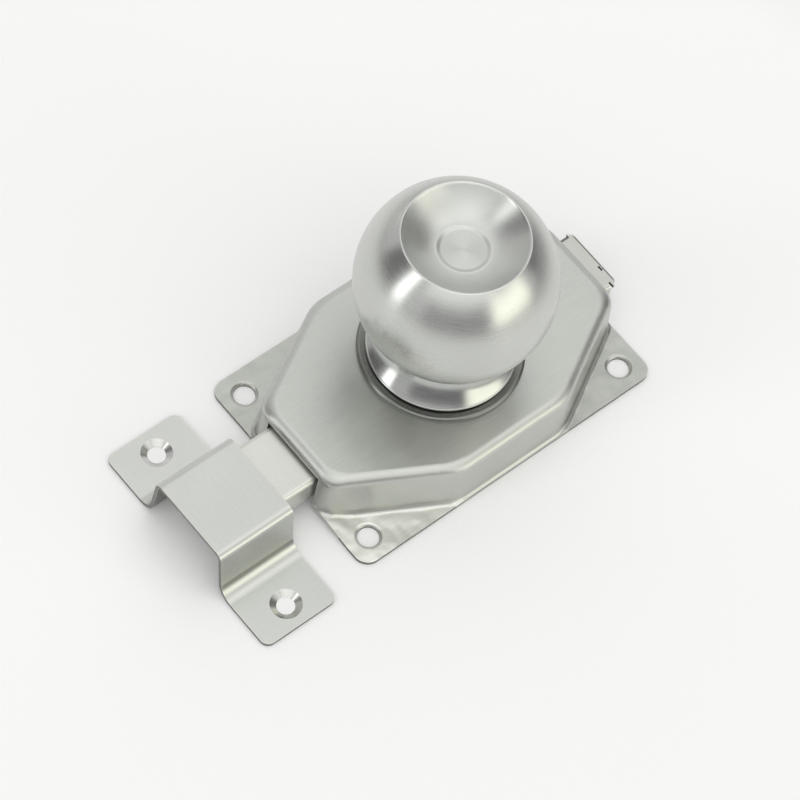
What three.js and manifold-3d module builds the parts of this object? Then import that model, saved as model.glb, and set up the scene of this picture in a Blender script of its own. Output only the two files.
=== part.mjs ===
// A knob bolt for a door: a flat sliding bolt in a pressed steel cover, worked by a round knob through a
// crank, with the hat-shaped keeper that the bolt's nose enters.
//
// Millimetres. +Z is the knob's axis, away from the door. +X runs from the keeper to the bolt's tail. Every
// piece is made round the knob's axis with the door's face at z = 0, and the last lines centre the whole.

import * as THREE from 'three';
import { mergeVertices } from 'three/addons/utils/BufferGeometryUtils.js';
import Module from 'manifold-3d';

const wasm = await Module();
wasm.setup();

// ------------------------------------------------------------------------------ driving dimensions

const sheet = 1.2;
const runningFit = 0.1;
const looseFit = 0.3;
const seatGap = 0.05;
const overshoot = 1;

const flange = { length: 100, width: 65.6, cornerRadius: 4 };

const screwHole = { x: 43.3, y: 26, radius: 2.9, dimpleRadius: 4.1, plainDepth: 0.3 };

const boss = {
  height: 17.2,
  endX: 49.6,
  endHalfWidth: 14.8,
  sideY: 32,
  sideHalfLength: 18.2,
  cornerRadius: 5,
  topRadius: 3,
  draft: 0.035,
  topSteps: 3,
};

const bolt = {
  noseX: -78.5,
  tailX: 54.2,
  width: 19.6,
  bottom: 4.6,
  top: 12.8,
  bend: 0.85,
  planRadius: 2,
  tailLip: 1.5,
  tailRelief: 0.6,
};

const slot = { halfWidth: 10.7, top: 13.7 };

const crank = {
  radius: 14,
  halfTurn: Math.PI / 4,
  hubRadius: 6.4,
  endRadius: 3.6,
  bottom: 8.4,
  top: 10.9,
};

const pin = { radius: 2, shankRadius: 1.7, headRadius: 2.8, headBottom: 7.5, top: 14.5, edge: 0.4 };

const ear = { halfLength: 8, reach: 18.6, relief: 2.5, cornerRadius: 2.5 };

const strap = { x: 34.5, width: 9, footEnd: 16.2, barTop: 4.3, sideGap: 0.45, bend: 1.2 };

const spring = {
  thickness: 0.4,
  width: 9,
  from: 26.5,
  flatTo: 31,
  crown: 38,
  crownHalf: 1,
  to: 45.5,
  tipLift: 2,
  bend: 3,
};

const spindle = {
  radius: 4,
  squareSide: 5.6,
  squareFrom: 24,
  top: 43.8,
  collarRadius: 6.5,
  collarBottom: 13.15,
  collarTop: 14.55,
  endRadius: 2.8,
  endBottom: 5,
  grooveRadius: 2.3,
  grooveBottom: 6.25,
  grooveTop: 7,
};

const bush = { outerRadius: 6.85, flangeRadius: 10, flangeBottom: 14.75, flangeTop: 15.95, top: 19.5 };

const rose = { innerRadius: 7, outerRadius: 22.3, height: 1.2, edgeRadius: 0.9 };

const knob = {
  radius: 26.6,
  centreZ: 51.6,
  wall: 1,
  rimRadius: 16.5,
  neckRadius: 14.3,
  lipRadius: 20.2,
  lipBottom: 19.6,
  lipTop: 20.4,
  flareTop: 29,
  neckTop: 33,
};

const dish = { depth: 5.6, curve: 1.7, skirt: 3.6, wall: 0.9, capRadius: 7.2, capWall: 0.9, capDrop: 0.25 };

const core = { bottom: 20.15, shoulder: 33, upperRadius: 9, floor: 44, top: 46 };

const knobScrew = {
  shankRadius: 2,
  shankBottom: 33.5,
  headRadius: 4,
  headHeight: 2.6,
  headEdge: 1,
  slotWidth: 1,
  boreDepth: 12,
};

const upperWasher = { innerRadius: 4.2, outerRadius: 8.5, bottom: 19.55, top: 20.1 };

const lowerWasher = { innerRadius: 3, outerRadius: 6, bottom: 7.75, top: 8.25 };

const waveWasher = {
  innerRadius: 3,
  outerRadius: 5.8,
  middle: 7.35,
  thickness: 0.3,
  amplitude: 0.18,
  waves: 3,
};

const circlip = { innerRadius: 2.45, outerRadius: 5, bottom: 6.3, top: 6.95, opening: 2.6 };

const keeper = {
  x: -72.8,
  y: -1.7,
  width: 23.4,
  length: 67.7,
  height: 18.15,
  sheet: 1.15,
  topHalfLength: 13.35,
  footSpread: 2,
  bend: 2,
  footBend: 5,
  cornerRadius: 3.2,
  holeY: 27.1,
  holeRadius: 2.5,
  sinkRadius: 4,
  plainDepth: 0.2,
};

const roundSegments = 36;
const smallSegments = 24;
const cornerSteps = 3;
const bendSteps = 3;
const keeperBendSteps = 5;

// ------------------------------------------------------------------------------- worked-out values

const throwLength = 2 * crank.radius * Math.sin(crank.halfTurn);
const thrownX = -throwLength / 2;
const travelPerRadian = throwLength / (2 * crank.halfTurn);
const bossInnerTop = boss.height - sheet;
const webBottom = bolt.top - sheet;

// ---------------------------------------------------------------------------------------- finishes

function steel(name, color, roughness) {
  return new THREE.MeshStandardMaterial({ name, color, roughness, metalness: 1 });
}

const finish = {
  satin: steel('satin_steel', 0xc3c5c3, 0.38),
  brushed: steel('brushed_steel', 0xbfc1bf, 0.34),
  knob: steel('knob_steel', 0xc8cac8, 0.26),
  bright: steel('bright_steel', 0xd0d2d2, 0.2),
  plated: steel('plated_steel', 0xaeb2b6, 0.4),
  spring: steel('spring_steel', 0x8d9094, 0.35),
};

// ----------------------------------------------------------------------------- outlines and bodies

const point = (x, y) => new THREE.Vector2(x, y);
const axis = (x, y, z) => new THREE.Vector3(x, y, z);

function cross(a, b) {
  return a.x * b.y - a.y * b.x;
}

// Points along an arc, both ends included.
function arc(centreX, centreY, radius, fromAngle, toAngle, steps) {
  const points = [];
  for (let i = 0; i <= steps; i += 1) {
    const angle = fromAngle + ((toAngle - fromAngle) * i) / steps;
    points.push(point(centreX + radius * Math.cos(angle), centreY + radius * Math.sin(angle)));
  }
  return points;
}

// A closed outline with each corner rounded to the radius.
function roundedOutline(corners, radius, steps = cornerSteps) {
  const outline = [];
  corners.forEach((corner, i) => {
    const before = corners[(i + corners.length - 1) % corners.length];
    const after = corners[(i + 1) % corners.length];
    const inward = corner.clone().sub(before).normalize();
    const outward = after.clone().sub(corner).normalize();
    const turn = Math.atan2(cross(inward, outward), inward.dot(outward));
    const start = corner.clone().addScaledVector(inward, -radius * Math.tan(Math.abs(turn) / 2));
    const side = point(-inward.y, inward.x).multiplyScalar(Math.sign(turn) * radius);
    const centre = start.clone().add(side);
    for (let k = 0; k <= steps; k += 1) {
      outline.push(start.clone().rotateAround(centre, (turn * k) / steps));
    }
  });
  return outline;
}

function rectangle(halfLength, halfWidth) {
  return [
    point(-halfLength, -halfWidth),
    point(halfLength, -halfWidth),
    point(halfLength, halfWidth),
    point(-halfLength, halfWidth),
  ];
}

// The closed outline of a strip of sheet folded at each inner corner; bend is the radius of its middle line,
// for the whole strip or as a list with one for each corner.
function foldedStrip(corners, thickness, bend, steps = bendSteps) {
  const left = [];
  const right = [];
  corners.forEach((corner, i) => {
    const last = i === corners.length - 1;
    const inward = i === 0 ? corners[1].clone().sub(corner) : corner.clone().sub(corners[i - 1]);
    inward.normalize();
    const outward = last ? inward.clone() : corners[i + 1].clone().sub(corner).normalize();
    const turn = Math.atan2(cross(inward, outward), inward.dot(outward));
    const folded = Math.abs(turn) > 1e-6;
    const radius = Array.isArray(bend) ? bend[i] : bend;
    const setback = radius * Math.tan(Math.abs(turn) / 2);
    const start = corner.clone().addScaledVector(inward, -setback);
    const normal = point(-inward.y, inward.x);
    const centre = start.clone().addScaledVector(normal, Math.sign(turn) * radius);
    const origin = point(0, 0);
    for (let k = 0; k <= (folded ? steps : 0); k += 1) {
      const angle = (turn * k) / steps;
      const middle = folded ? start.clone().rotateAround(centre, angle) : start.clone();
      const across = normal.clone().rotateAround(origin, angle).multiplyScalar(thickness / 2);
      left.push(middle.clone().add(across));
      right.push(middle.clone().sub(across));
    }
  });
  return [...left, ...right.reverse()];
}

// The outline of a straight slot with round ends, given the centres of its ends.
function slotOutline(from, to, halfWidth, endSteps = 5) {
  const angle = to.clone().sub(from).angle();
  const quarter = Math.PI / 2;
  return [
    ...arc(to.x, to.y, halfWidth, angle - quarter, angle + quarter, endSteps),
    ...arc(from.x, from.y, halfWidth, angle + quarter, angle + 3 * quarter, endSteps),
  ];
}

// Vertices on an axis of revolution merge, and the triangles that they close up are dropped.
function solid(geometry) {
  const bare = geometry.clone();
  bare.deleteAttribute('normal');
  bare.deleteAttribute('uv');
  const merged = mergeVertices(bare, 1e-4);
  const indices = merged.index.array;
  const triangles = [];
  for (let i = 0; i < indices.length; i += 3) {
    const [a, b, c] = [indices[i], indices[i + 1], indices[i + 2]];
    if (a !== b && b !== c && c !== a) {
      triangles.push(a, b, c);
    }
  }
  return new wasm.Manifold(new wasm.Mesh({
    numProp: 3,
    vertProperties: merged.attributes.position.array,
    triVerts: new Uint32Array(triangles),
  }));
}

function geometryOf(body) {
  const cut = body.getMesh();
  const geometry = new THREE.BufferGeometry();
  geometry.setAttribute('position', new THREE.BufferAttribute(new Float32Array(cut.vertProperties), 3));
  geometry.setIndex(new THREE.BufferAttribute(new Uint32Array(cut.triVerts), 1));
  geometry.computeVertexNormals();
  return geometry;
}

function piece(name, body, material) {
  const mesh = new THREE.Mesh(geometryOf(body), material);
  mesh.name = name;
  return mesh;
}

function extruded(outline, from, to) {
  const options = { depth: to - from, bevelEnabled: false };
  return new THREE.ExtrudeGeometry(new THREE.Shape(outline), options).translate(0, 0, from);
}

// A plan outline stood up between two heights.
function upright(outline, bottom, top) {
  return solid(extruded(outline, bottom, top));
}

// A section drawn in Y and Z, run along X.
function alongX(outline, from, to) {
  const toYZ = new THREE.Matrix4().makeBasis(axis(0, 1, 0), axis(0, 0, 1), axis(1, 0, 0));
  return solid(extruded(outline, from, to).applyMatrix4(toYZ));
}

// A section drawn in X and Z, run along Y, centred on Y = 0.
function alongY(outline, width) {
  const toXZ = new THREE.Matrix4().makeBasis(axis(1, 0, 0), axis(0, 0, 1), axis(0, -1, 0));
  return solid(extruded(outline, -width / 2, width / 2).applyMatrix4(toXZ));
}

function block(xFrom, xTo, yFrom, yTo, zFrom, zTo) {
  const geometry = new THREE.BoxGeometry(xTo - xFrom, yTo - yFrom, zTo - zFrom);
  geometry.translate((xFrom + xTo) / 2, (yFrom + yTo) / 2, (zFrom + zTo) / 2);
  return solid(geometry);
}

function square(side, bottom, top) {
  return block(-side / 2, side / 2, -side / 2, side / 2, bottom, top);
}

// A profile of (radius, height) points, from low to high up its outside, turned round Z.
function turned(profile, segments = roundSegments) {
  const closed = profile[0].x > 0;
  const points = closed ? [...profile, profile[0].clone()] : profile;
  const geometry = new THREE.LatheGeometry(points, segments);
  geometry.rotateX(Math.PI / 2);
  return solid(geometry);
}

function cylinder(radius, bottom, top, segments = smallSegments) {
  return turned([point(0, bottom), point(radius, bottom), point(radius, top), point(0, top)], segments);
}

function tube(innerRadius, outerRadius, bottom, top, segments = smallSegments) {
  return turned([
    point(innerRadius, bottom),
    point(outerRadius, bottom),
    point(outerRadius, top),
    point(innerRadius, top),
  ], segments);
}

// A screw hole with a conical mouth at the top of a sheet that lies on z = 0.
function countersunkHole(x, y, radius, mouthRadius, plainDepth, thickness) {
  const slope = (mouthRadius - radius) / (thickness - plainDepth);
  const hole = turned([
    point(0, -overshoot),
    point(radius, -overshoot),
    point(radius, plainDepth),
    point(mouthRadius + slope * overshoot, thickness + overshoot),
    point(0, thickness + overshoot),
  ], smallSegments);
  return hole.translate([x, y, 0]);
}

// --------------------------------------------------------------------------------------- the cover

// The octagonal boss as a full body: walls inset and leaning in by the draft, and the top edge rounded.
function bossBody(inset, top, edgeRadius) {
  const { endX, endHalfWidth, sideY, sideHalfLength } = boss;
  const corners = [
    point(endX, -endHalfWidth),
    point(endX, endHalfWidth),
    point(sideHalfLength, sideY),
    point(-sideHalfLength, sideY),
    point(-endX, endHalfWidth),
    point(-endX, -endHalfWidth),
    point(-sideHalfLength, -sideY),
    point(sideHalfLength, -sideY),
  ];
  const depth = top + overshoot;
  const geometry = new THREE.ExtrudeGeometry(new THREE.Shape(roundedOutline(corners, boss.cornerRadius)), {
    depth,
    bevelEnabled: true,
    bevelThickness: edgeRadius,
    bevelSize: edgeRadius,
    bevelOffset: -edgeRadius - inset,
    bevelSegments: boss.topSteps,
  });
  geometry.translate(0, 0, top - depth - edgeRadius);
  const places = geometry.attributes.position;
  for (let i = 0; i < places.count; i += 1) {
    const lean = boss.draft * Math.max(places.getZ(i), 0);
    places.setX(i, places.getX(i) * (1 - lean / endX));
    places.setY(i, places.getY(i) * (1 - lean / sideY));
  }
  return solid(geometry);
}

function makeCover() {
  const plateCorners = rectangle(flange.length / 2, flange.width / 2);
  const plate = upright(roundedOutline(plateCorners, flange.cornerRadius), 0, sheet);
  const aboveDoor = block(-flange.length, flange.length, -flange.width, flange.width, 0, 2 * boss.height);
  let cover = plate.add(bossBody(0, boss.height, boss.topRadius).intersect(aboveDoor));
  cover = cover.subtract(bossBody(sheet, bossInnerTop, boss.topRadius - sheet));
  for (const side of [-1, 1]) {
    const middle = side * boss.endX;
    const notch = block(
      middle - 3 * sheet,
      middle + 3 * sheet,
      -slot.halfWidth,
      slot.halfWidth,
      -overshoot,
      slot.top,
    );
    cover = cover.subtract(notch);
    for (const across of [-1, 1]) {
      const { x, y, radius, dimpleRadius, plainDepth } = screwHole;
      cover = cover.subtract(countersunkHole(side * x, across * y, radius, dimpleRadius, plainDepth, sheet));
    }
  }
  const bushHole = cylinder(rose.innerRadius, bossInnerTop - overshoot, boss.height + overshoot);
  return piece('cover', cover.subtract(bushHole), finish.satin);
}

function makeRoseRing() {
  const { innerRadius, outerRadius, height, edgeRadius } = rose;
  const bottom = boss.height;
  const top = bottom + height;
  const edge = arc(outerRadius - edgeRadius, top - edgeRadius, edgeRadius, 0, Math.PI / 2, bendSteps);
  const profile = [point(innerRadius, bottom), point(outerRadius, bottom), ...edge, point(innerRadius, top)];
  return piece('rose_ring', turned(profile), finish.satin);
}

function makeSpindleBush() {
  const innerRadius = spindle.radius + runningFit;
  const body = turned([
    point(innerRadius, bush.flangeBottom),
    point(bush.flangeRadius, bush.flangeBottom),
    point(bush.flangeRadius, bush.flangeTop),
    point(bush.outerRadius, bush.flangeTop),
    point(bush.outerRadius, bush.top),
    point(innerRadius, bush.top),
  ], smallSegments);
  return piece('spindle_bush', body, finish.plated);
}

// A hat-shaped strap under the bolt, welded by its two feet to the underside of the cover.
function makeStrap(name, side) {
  const footMiddle = bossInnerTop - seatGap - sheet / 2;
  const legMiddle = bolt.width / 2 + strap.sideGap + sheet / 2;
  const barMiddle = strap.barTop - sheet / 2;
  const section = foldedStrip([
    point(-strap.footEnd, footMiddle),
    point(-legMiddle, footMiddle),
    point(-legMiddle, barMiddle),
    point(legMiddle, barMiddle),
    point(legMiddle, footMiddle),
    point(strap.footEnd, footMiddle),
  ], sheet, strap.bend);
  const body = alongX(section, side * strap.x - strap.width / 2, side * strap.x + strap.width / 2);
  return piece(name, body, finish.plated);
}

// A bowed leaf: one end is flat against the cover, and its crown bears on the top of the bolt.
function makeFrictionSpring() {
  const flat = bossInnerTop - seatGap - spring.thickness / 2;
  const crown = bolt.top + runningFit + spring.thickness / 2;
  const section = foldedStrip([
    point(spring.from, flat),
    point(spring.flatTo, flat),
    point(spring.crown - spring.crownHalf, crown),
    point(spring.crown + spring.crownHalf, crown),
    point(spring.to, crown + spring.tipLift),
  ], spring.thickness, spring.bend);
  return piece('friction_spring', alongY(section, spring.width), finish.spring);
}

// -------------------------------------------------------------------------------------- the keeper

function makeKeeper() {
  const half = keeper.sheet / 2;
  const topMiddle = keeper.height - half;
  const topCorner = keeper.topHalfLength - half;
  const { bend, footBend } = keeper;
  const section = foldedStrip([
    point(-keeper.length / 2, half),
    point(-topCorner - keeper.footSpread, half),
    point(-topCorner, topMiddle),
    point(topCorner, topMiddle),
    point(topCorner + keeper.footSpread, half),
    point(keeper.length / 2, half),
  ], keeper.sheet, [0, footBend, bend, bend, footBend, 0], keeperBendSteps);
  const plan = roundedOutline(rectangle(keeper.width / 2, keeper.length / 2), keeper.cornerRadius);
  let body = alongX(section, -keeper.width / 2, keeper.width / 2);
  body = body.intersect(upright(plan, -overshoot, keeper.height + overshoot));
  for (const side of [-1, 1]) {
    const { holeY, holeRadius, sinkRadius, plainDepth } = keeper;
    body = body.subtract(countersunkHole(0, side * holeY, holeRadius, sinkRadius, plainDepth, keeper.sheet));
  }
  const mesh = piece('keeper', body, finish.brushed);
  mesh.position.set(keeper.x, keeper.y, 0);
  return mesh;
}

// ---------------------------------------------------- the bolt, made with its travel at the middle

// The path of the crank's pin as the bolt sees it. The bolt's travel is in proportion to the knob's turn, so
// the path goes out to the crank's full radius on one side of the middle and comes back on the other.
function camPath(steps = 8) {
  const path = [];
  for (let i = 0; i <= steps; i += 1) {
    const angle = crank.halfTurn * ((2 * i) / steps - 1);
    const x = crank.radius * Math.sin(angle) - travelPerRadian * angle;
    path.push(point(x, crank.radius * Math.cos(angle)));
  }
  return path;
}

// The room that the pin needs in the ear, with its clearance, one stretch of its path after another.
function camSlot() {
  const path = camPath();
  const stretches = path.slice(1).map((place, i) => {
    const outline = slotOutline(path[i], place, pin.radius + looseFit);
    return upright(outline, webBottom - overshoot, bolt.top + overshoot);
  });
  return stretches.reduce((whole, stretch) => whole.add(stretch));
}

function makeBolt() {
  const nose = bolt.noseX - thrownX;
  const tail = bolt.tailX - thrownX;
  const half = bolt.width / 2;
  const webMiddle = bolt.top - sheet / 2;
  const section = foldedStrip([
    point(-half + sheet / 2, bolt.bottom),
    point(-half + sheet / 2, webMiddle),
    point(half - sheet / 2, webMiddle),
    point(half - sheet / 2, bolt.bottom),
  ], sheet, bolt.bend);
  let body = alongX(section, nose, tail);

  const earOutline = roundedOutline([
    point(-ear.halfLength, 0),
    point(ear.halfLength, 0),
    point(ear.halfLength, ear.reach),
    point(-ear.halfLength, ear.reach),
  ], ear.cornerRadius);
  const notchHalf = ear.halfLength + ear.relief;
  const innerFace = half - sheet - bolt.bend;
  body = body.subtract(block(-notchHalf, notchHalf, innerFace, half + overshoot, 0, bolt.top + overshoot));
  body = body.add(upright(earOutline, webBottom, bolt.top));
  body = body.subtract(camSlot());

  const spindleReach = throwLength / 2;
  const spindleSlot = slotOutline(point(-spindleReach, 0), point(spindleReach, 0), spindle.radius + looseFit);
  body = body.subtract(upright(spindleSlot, webBottom - overshoot, bolt.top + overshoot));

  const flapHalf = half - sheet - looseFit;
  body = body.add(block(nose, nose + sheet, -flapHalf, flapHalf, bolt.bottom + sheet / 2, webMiddle));

  // The sides stop short of the tail at relief cuts, and the web runs on as a flat lip with round corners.
  const { planRadius } = bolt;
  const shoulder = tail - bolt.tailLip;
  const reliefFrom = shoulder - bolt.tailRelief;
  const lipOutline = roundedOutline([
    point(reliefFrom - 2 * planRadius, -half),
    point(tail, -half),
    point(tail, half),
    point(reliefFrom - 2 * planRadius, half),
  ], planRadius);
  const lip = upright(lipOutline, webBottom, bolt.top);
  const beforeLip = block(reliefFrom - 2 * planRadius, reliefFrom, -half, half, 0, bolt.top + overshoot);
  const tailEnd = block(shoulder, tail + overshoot, -half, half, 0, bolt.top + overshoot);
  body = body.subtract(tailEnd).add(lip.subtract(beforeLip));
  const foldDepth = sheet / 2 + bolt.bend + runningFit;
  for (const side of [-1, 1]) {
    const [from, to] = [side * (half - foldDepth), side * (half + overshoot)].sort((a, b) => a - b);
    body = body.subtract(block(reliefFrom, shoulder, from, to, 0, bolt.top + overshoot));
  }
  return piece('bolt_channel', body, finish.satin);
}

// ---------------------------------------- the knob and what turns with it, with the crank along +Y

function makeKnobBall() {
  const { radius, centreZ, wall, rimRadius, neckRadius } = knob;
  const inner = radius - wall;
  const openingRadius = neckRadius + runningFit;
  const outside = arc(
    0,
    centreZ,
    radius,
    -Math.acos(openingRadius / radius),
    Math.acos(rimRadius / radius),
    14,
  );
  const inside = arc(0, centreZ, inner, Math.acos(rimRadius / inner), -Math.acos(openingRadius / inner), 9);
  return piece('knob_ball', turned([...outside, ...inside]), finish.knob);
}

// The height of the dished face: steepest at the rim and level where it meets the cap.
function dishHeight(radius) {
  const rimZ = knob.centreZ + Math.sqrt(knob.radius ** 2 - knob.rimRadius ** 2);
  const share = (radius - dish.capRadius) / (knob.rimRadius - dish.capRadius);
  return rimZ - dish.depth * (1 - share ** dish.curve);
}

function makeKnobDish() {
  const outer = knob.rimRadius - runningFit;
  const inner = dish.capRadius + runningFit;
  const steps = 5;
  const upper = [];
  const lower = [];
  for (let i = 0; i <= steps; i += 1) {
    const radius = outer + ((inner - outer) * i) / steps;
    upper.push(point(radius, dishHeight(radius)));
    lower.push(point(Math.min(radius, outer - dish.wall), dishHeight(radius) - dish.wall));
  }
  const skirtBottom = dishHeight(outer) - dish.skirt;
  const profile = [
    ...lower.slice(1).reverse(),
    point(outer - dish.wall, skirtBottom),
    point(outer, skirtBottom),
    ...upper,
  ];
  return piece('knob_dish', turned(profile), finish.knob);
}

function makeKnobCap() {
  const top = dishHeight(dish.capRadius) - dish.capDrop;
  return piece('knob_cap', cylinder(dish.capRadius, top - dish.capWall, top, roundSegments), finish.knob);
}

// The trumpet-shaped neck: level at its lip and upright where it enters the ball.
function makeKnobNeck() {
  const { neckRadius, lipRadius, lipBottom, lipTop, flareTop, neckTop, wall } = knob;
  const steps = 6;
  const flare = (lip, waist, low) => {
    const points = [];
    for (let i = 0; i <= steps; i += 1) {
      const angle = (Math.PI / 2) * (i / steps);
      const height = flareTop - (flareTop - low) * Math.cos(angle);
      points.push(point(lip - (lip - waist) * Math.sin(angle), height));
    }
    return points;
  };
  const outside = flare(lipRadius, neckRadius, lipTop);
  const inside = flare(lipRadius - wall / 2, neckRadius - wall, lipBottom);
  const profile = [
    point(lipRadius, lipBottom),
    ...outside,
    point(neckRadius, neckTop),
    point(neckRadius - wall, neckTop),
    ...inside.reverse(),
  ];
  return piece('knob_neck', turned(profile), finish.bright);
}

function makeKnobCore() {
  const lowerRadius = knob.neckRadius - knob.wall - runningFit;
  let body = turned([
    point(0, core.bottom),
    point(lowerRadius, core.bottom),
    point(lowerRadius, core.shoulder),
    point(core.upperRadius, core.shoulder),
    point(core.upperRadius, core.top),
    point(0, core.top),
  ]);
  const { squareFrom, squareSide } = spindle;
  const boreRadius = spindle.radius + runningFit;
  body = body.subtract(cylinder(boreRadius, core.bottom - overshoot, squareFrom + runningFit));
  body = body.subtract(square(squareSide + 2 * runningFit, squareFrom, core.floor));
  const screwRadius = knobScrew.shankRadius + looseFit;
  body = body.subtract(cylinder(screwRadius, core.floor - overshoot, core.top + overshoot));
  return piece('knob_core', body, finish.plated);
}

function makeKnobScrew() {
  const { shankRadius, shankBottom, headRadius, headHeight, headEdge, slotWidth } = knobScrew;
  const seat = core.top + seatGap;
  const top = seat + headHeight;
  const rounding = arc(headRadius - headEdge, top - headEdge, headEdge, 0, Math.PI / 2, bendSteps);
  let body = turned([
    point(0, shankBottom),
    point(shankRadius, shankBottom),
    point(shankRadius, seat),
    point(headRadius, seat),
    ...rounding,
    point(0, top),
  ], smallSegments);
  const half = slotWidth / 2;
  body = body.subtract(block(-headRadius, headRadius, -half, half, top - headHeight / 2, top + overshoot));
  return piece('knob_screw', body, finish.plated);
}

function makeSpindle() {
  const s = spindle;
  const squareBottom = crank.bottom - runningFit;
  const body = turned([
    point(0, s.endBottom),
    point(s.endRadius, s.endBottom),
    point(s.endRadius, s.grooveBottom),
    point(s.grooveRadius, s.grooveBottom),
    point(s.grooveRadius, s.grooveTop),
    point(s.endRadius, s.grooveTop),
    point(s.endRadius, crank.top),
    point(s.radius, crank.top + seatGap),
    point(s.radius, s.collarBottom),
    point(s.collarRadius, s.collarBottom),
    point(s.collarRadius, s.collarTop),
    point(s.radius, s.collarTop),
    point(s.radius, s.squareFrom),
    point(0, s.squareFrom),
  ], smallSegments);
  const lowerSquare = square(s.squareSide, squareBottom, crank.top + 2 * seatGap);
  const upperSquare = square(s.squareSide, s.squareFrom - 2 * seatGap, s.top);
  const tapped = cylinder(knobScrew.shankRadius + runningFit, s.top - knobScrew.boreDepth, s.top + overshoot);
  return piece('spindle', body.add(lowerSquare).add(upperSquare).subtract(tapped), finish.plated);
}

function makeUpperWasher() {
  const { innerRadius, outerRadius, bottom, top } = upperWasher;
  return piece('upper_washer', tube(innerRadius, outerRadius, bottom, top), finish.plated);
}

// The arm's outline: a hub and a rounded end joined by straight sides.
function linkOutline() {
  const { radius, hubRadius, endRadius } = crank;
  const taper = Math.asin((hubRadius - endRadius) / radius);
  return [
    ...arc(0, radius, endRadius, taper, Math.PI - taper, 8),
    ...arc(0, 0, hubRadius, Math.PI - taper, 2 * Math.PI + taper, 16),
  ];
}

function makeCrankArm() {
  const low = crank.bottom - overshoot;
  const high = crank.top + overshoot;
  let body = upright(linkOutline(), crank.bottom, crank.top);
  body = body.subtract(square(spindle.squareSide + 2 * runningFit, low, high));
  body = body.subtract(cylinder(pin.shankRadius + runningFit, low, high).translate([0, crank.radius, 0]));
  return piece('crank_arm', body, finish.plated);
}

function makeCrankPin() {
  const { edge } = pin;
  const body = turned([
    point(0, pin.headBottom),
    point(pin.headRadius - edge, pin.headBottom),
    point(pin.headRadius, pin.headBottom + edge),
    point(pin.headRadius, crank.bottom - seatGap),
    point(pin.shankRadius, crank.bottom - seatGap),
    point(pin.shankRadius, crank.top + seatGap),
    point(pin.radius, crank.top + seatGap),
    point(pin.radius, pin.top - edge),
    point(pin.radius - edge, pin.top),
    point(0, pin.top),
  ], smallSegments);
  return piece('crank_pin', body.translate([0, crank.radius, 0]), finish.plated);
}

function makeLowerWasher() {
  const { innerRadius, outerRadius, bottom, top } = lowerWasher;
  return piece('lower_washer', tube(innerRadius, outerRadius, bottom, top), finish.plated);
}

function makeWaveWasher() {
  const { innerRadius, outerRadius, middle, thickness, amplitude, waves } = waveWasher;
  const bottom = middle - thickness / 2;
  const profile = [
    point(innerRadius, bottom),
    point(outerRadius, bottom),
    point(outerRadius, bottom + thickness),
    point(innerRadius, bottom + thickness),
    point(innerRadius, bottom),
  ];
  const geometry = new THREE.LatheGeometry(profile, roundSegments);
  geometry.rotateX(Math.PI / 2);
  const places = geometry.attributes.position;
  for (let i = 0; i < places.count; i += 1) {
    const angle = Math.atan2(places.getY(i), places.getX(i));
    places.setZ(i, places.getZ(i) + amplitude * Math.cos(waves * angle));
  }
  return piece('wave_washer', solid(geometry), finish.spring);
}

function makeCirclip() {
  const { innerRadius, outerRadius, bottom, top, opening } = circlip;
  const ring = tube(innerRadius, outerRadius, bottom, top);
  const gap = block(0, 2 * outerRadius, -opening / 2, opening / 2, bottom - overshoot, top + overshoot);
  return piece('circlip', ring.subtract(gap), finish.spring);
}

// ------------------------------------------------------------------------------------ the assembly

const knobParts = new THREE.Group();
knobParts.add(
  makeKnobBall(),
  makeKnobDish(),
  makeKnobCap(),
  makeKnobNeck(),
  makeKnobCore(),
  makeKnobScrew(),
  makeSpindle(),
  makeUpperWasher(),
  makeCrankArm(),
  makeCrankPin(),
  makeLowerWasher(),
  makeWaveWasher(),
  makeCirclip(),
);
knobParts.rotation.z = crank.halfTurn;

const boltParts = new THREE.Group();
boltParts.add(makeBolt());
boltParts.position.x = thrownX;

const fixedParts = new THREE.Group();
fixedParts.add(
  makeCover(),
  makeRoseRing(),
  makeSpindleBush(),
  makeStrap('front_strap', -1),
  makeStrap('rear_strap', 1),
  makeFrictionSpring(),
  makeKeeper(),
);

const latch = new THREE.Group();
latch.add(fixedParts, knobParts, boltParts);

// The whole is centred in X and Y on its own box, and stands on z = 0.
const keeperLow = keeper.y - keeper.length / 2;
const keeperEnd = keeper.x - keeper.width / 2;
latch.position.set(-(keeperEnd + bolt.tailX) / 2, -(keeperLow + flange.width / 2) / 2, 0);

export default latch;
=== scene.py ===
# The looks of a knob bolt: fine surfaces, finishes, light and camera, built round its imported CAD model.
#
# Shapes are made in millimetres about the knob's axis, with the door's face at z = 0 and the keeper towards
# -X, and each is then scaled to metres and set at the place of the axis in the frame.

import math
from types import SimpleNamespace as Sizes

import bmesh
import bpy
from mathutils import Matrix, Vector


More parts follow.
